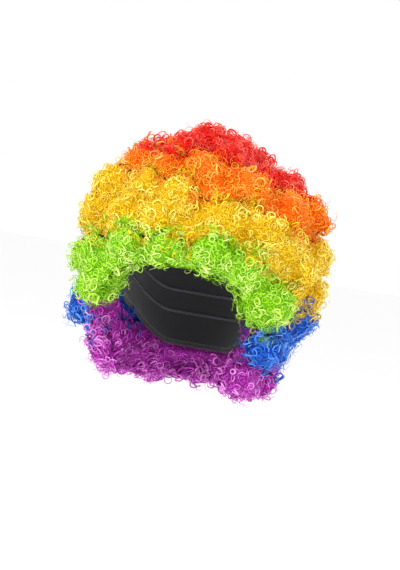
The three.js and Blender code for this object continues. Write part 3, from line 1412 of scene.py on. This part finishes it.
@dataclass
class HairBand:
    """One colour band: a mass of fibre and its coats of curls."""

    band: Band
    hair: Hair
    seed: int
    mass: bpy.types.Object | None = None
    grounds: list[tuple[bpy.types.Mesh, np.ndarray]] = field(default_factory=list)

    def build_mass(self) -> bpy.types.Object:
        """Round off a copy of the band's frame solid.

        Returns:
            The band's mass.
        """
        self.mass = self.hair.rounded(f"{self.band.name.lower()}_mass", [self.band.value])
        return self.mass

    def mark_cover(self, share: np.ndarray) -> None:
        """Write how thickly curls cover each vertex of the mass, and how open it is, by which the
        fibre's colour is given painted shade and light.

        Args:
            share: each vertex's share of rays that get out.
        """
        hair, mesh = self.hair, self.mass.data
        points, normals = (np.empty((len(mesh.vertices), 3), dtype=np.float32) for _ in range(2))
        mesh.vertices.foreach_get("co", points.ravel())
        mesh.vertices.foreach_get("normal", normals.ravel())
        lining, behind_cap = hair.lining(points, normals)
        cover = np.clip((share - hair.shut_share) / hair.cover_span, 0.0, 1.0)
        cover[lining] *= hair.lining_cover
        cover[behind_cap] = 0.0
        write(mesh, "cover", cover)
        # How open each place is, which paints shade on the fibre in hollows and light on open tops.
        write(mesh, "open", np.clip(share / hair.full_share, 0.0, 1.0))

    def raise_tufts(self, relief: NodeForm) -> None:
        """Raise small tufts on the mass where it is seen.

        Args:
            relief: the tree that raises tufts.
        """
        values = {
            "Tuft size": self.hair.tuft_size,
            "Relief": self.hair.tuft_relief,
            "Level": self.hair.tuft_level,
            "Slack": self.hair.slack,
            "Seed": float(self.seed),
            "Finish": HairFinish(self.band).mass(),
        }
        relief.apply(self.mass, values)

    def covered_area(self) -> float:
        """Measure the area that the band's curls grow from.

        Returns:
            The area in square metres, weighted by its cover.
        """
        return sum(
            p.area * float(np.mean(cover[list(p.vertices)]))
            for mesh, cover in self.grounds
            for p in mesh.polygons
        )

    def ground(self, name: str) -> bpy.types.Mesh:
        """Join what the band's curls grow from: its own mass and its neighbours' borders.

        Args:
            name: the mesh's name.

        Returns:
            The new mesh, with its cover and how open each place is, for the painted shade.
        """
        corners: list[Vector] = []
        faces: list[list[int]] = []
        values: dict[str, list[np.ndarray]] = {"cover": [], "open": []}
        for mesh, cover in self.grounds:
            grown = [p for p in mesh.polygons if max(cover[i] for i in p.vertices) > 0.0]
            kept = sorted({i for p in grown for i in p.vertices})
            place = {old: len(corners) + new for new, old in enumerate(kept)}
            corners.extend(mesh.vertices[i].co for i in kept)
            faces.extend([place[i] for i in p.vertices] for p in grown)
            values["cover"].append(cover[kept])
            values["open"].append(read(mesh, "open")[kept])
        joined = bpy.data.meshes.new(name)
        joined.from_pydata(corners, [], faces)
        for label, parts in values.items():
            write(joined, label, np.concatenate(parts))
        return joined

    def build_coat(self, coat: CurlCoat, form: NodeForm, density: float) -> bpy.types.Object:
        """Cover the mass with one cast of curls.

        Args:
            coat: the cast's sizes.
            form: the tree that plants the curls.
            density: curls per square metre.

        Returns:
            The coat's object.
        """
        name = f"{self.band.name.lower()}_{coat.cast.value}"
        piece = shown_object(name, self.ground(name))
        values = {
            "Curls per m2": density,
            "Curl radius": coat.radius,
            "Curl rise": coat.rise,
            "Strand radius": coat.strand,
            "Points per turn": coat.points,
            "Sink": coat.sink,
            "Stray": coat.stray,
            "Droop": coat.droop,
            "Scatter": coat.scatter,
            "Seed": self.seed,
            "Finish": HairFinish(self.band).strands(),
        }
        coat.unwrap(form.apply(piece, values))
        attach(piece, "root")
        return piece


COATS = (
    CurlCoat(
        Cast.RINGLETS,
        total=9150,
        radius=4.3 * MM,
        rise=7.0 * MM,
        strand=0.6 * MM,
        points=9,
        sink=2.6 * MM,
        stray=6.0 * MM,
        droop=0.3,
        scatter=0.7,
    ),
    CurlCoat(
        Cast.WISPS,
        total=3000,
        radius=4.2 * MM,
        rise=11.0 * MM,
        strand=0.25 * MM,
        points=7,
        sink=2.0 * MM,
        stray=4.0 * MM,
        droop=0.1,
        scatter=0.8,
    ),
)


@dataclass(frozen=True)
class Light:
    """A soft square light: where it stands and its side in metres, and its watts."""

    name: str
    place: tuple[float, float, float]
    side: float
    power: float


LIGHTS = (
    Light("key", (-1.1, -1.7, 1.2), 0.7, 30.0),
    Light("fill", (1.6, -1.3, 0.4), 1.4, 12.0),
    Light("rim", (0.4, 1.6, 1.3), 1.2, 10.0),
)


@dataclass
class Studio:
    """A plain pale floor, soft lights and the photograph's point of view."""

    aim: Vector = field(default_factory=lambda: Vector((0.0, 10.0, -65.0)) * MM)
    aim_px: tuple[float, float] = (199.0, 264.0)
    frame_px: tuple[float, float] = (400.0, 570.0)
    mm_per_px: float = 1.13
    distance: float = 2.0
    azimuth: float = 13.0
    elevation: float = 2.0
    roll: float = 9.0
    floor_drop: float = 0.42
    floor_size: float = 30.0
    floor_colour: Colour = (0.97, 0.97, 0.97)
    floor_roughness: float = 0.9
    sensor: float = 36.0

    def place_camera(self) -> None:
        """Put the camera where the photograph's was."""
        a, e, r = (math.radians(v) for v in (self.azimuth, self.elevation, self.roll))
        towards = Vector((-math.sin(a) * math.cos(e), math.cos(a) * math.cos(e), -math.sin(e)))
        level = Vector((math.cos(a), math.sin(a), 0.0))
        above = level.cross(towards)
        right = level * math.cos(r) + above * math.sin(r)
        up = above * math.cos(r) - level * math.sin(r)
        wide, high = self.frame_px
        step = self.mm_per_px * MM
        middle = (
            self.aim
            + right * ((wide / 2.0 - self.aim_px[0]) * step)
            - up * ((high / 2.0 - self.aim_px[1]) * step)
        )
        lens = bpy.data.cameras.new("camera")
        lens.sensor_width = self.sensor
        lens.lens = self.sensor * self.distance / (high * step)
        camera = bpy.data.objects.new("camera", lens)
        camera.matrix_world = Matrix((right, up, -towards)).transposed().to_4x4()
        camera.location = middle - towards * self.distance
        bpy.context.scene.collection.objects.link(camera)
        bpy.context.scene.camera = camera

    def add_light(self, light: Light) -> None:
        """Add a light that shines at the wig.

        Args:
            light: the light.
        """
        lamp = bpy.data.lights.new(light.name, "AREA")
        lamp.shape = "SQUARE"
        lamp.size = light.side
        lamp.energy = light.power
        stand = bpy.data.objects.new(light.name, lamp)
        stand.location = light.place
        way = self.aim - Vector(light.place)
        stand.rotation_euler = way.to_track_quat("-Z", "Y").to_euler()
        bpy.context.scene.collection.objects.link(stand)

    def build(self) -> None:
        """Build the floor, the lights, the sky and the camera."""
        half = self.floor_size / 2.0
        corners = [
            (x * half, y * half, -self.floor_drop) for x, y in ((-1, -1), (1, -1), (1, 1), (-1, 1))
        ]
        mesh = bpy.data.meshes.new("floor")
        mesh.from_pydata(corners, [], [(0, 1, 2, 3)])
        surface = Surface("pale_floor")
        surface.finish(Base_Color=(*self.floor_colour, 1.0), Roughness=self.floor_roughness)
        mesh.materials.append(surface.material)
        floor = shown_object("floor", mesh)
        world = bpy.data.worlds.new("pale_room")
        world.use_nodes = True
        sky = world.node_tree.nodes["Background"]
        sky.inputs["Color"].default_value = (1.0, 1.0, 1.0, 1.0)
        sky.inputs["Strength"].default_value = 1.0
        bpy.context.scene.world = world
        bpy.context.scene.view_settings.view_transform = "Standard"
        for light in LIGHTS:
            self.add_light(light)
        self.place_camera()


def report(piece: bpy.types.Object) -> None:
    """Log a piece's name and how many faces it has."""
    LOG.info("%s: %d faces", piece.name, len(piece.data.polygons))


def main() -> None:
    """Build the wig's pieces in order, and report each."""
    Studio().build()
    hair = Hair()
    cap = hair.cap.build(NetFinish())
    report(cap)
    report(hair.cap.build_tapes(WEFT_TAPE))
    report(hair.cap.build_stitches(SEWING_THREAD))
    bands = [
        HairBand(band, hair, FIRST_SEED + SEED_STEP * number) for number, band in enumerate(Band)
    ]
    masses = [band.build_mass() for band in bands]
    hair.even_out(masses)
    relief = hair.relief_form()
    shares = hair.open_share([mass.data for mass in masses], cap.data)
    for band, share in zip(bands, shares):
        band.mark_cover(share)
        band.raise_tufts(relief)
        report(band.mass)
    hair.mingle(bands)
    for coat in COATS:
        form = coat.form()
        density = coat.total / sum(band.covered_area() for band in bands)
        for band in bands:
            report(band.build_coat(coat, form, density))
    for band in bands:
        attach(band.mass, "root")
        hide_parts(band.band.value)


if __name__ == "__main__":
    main()
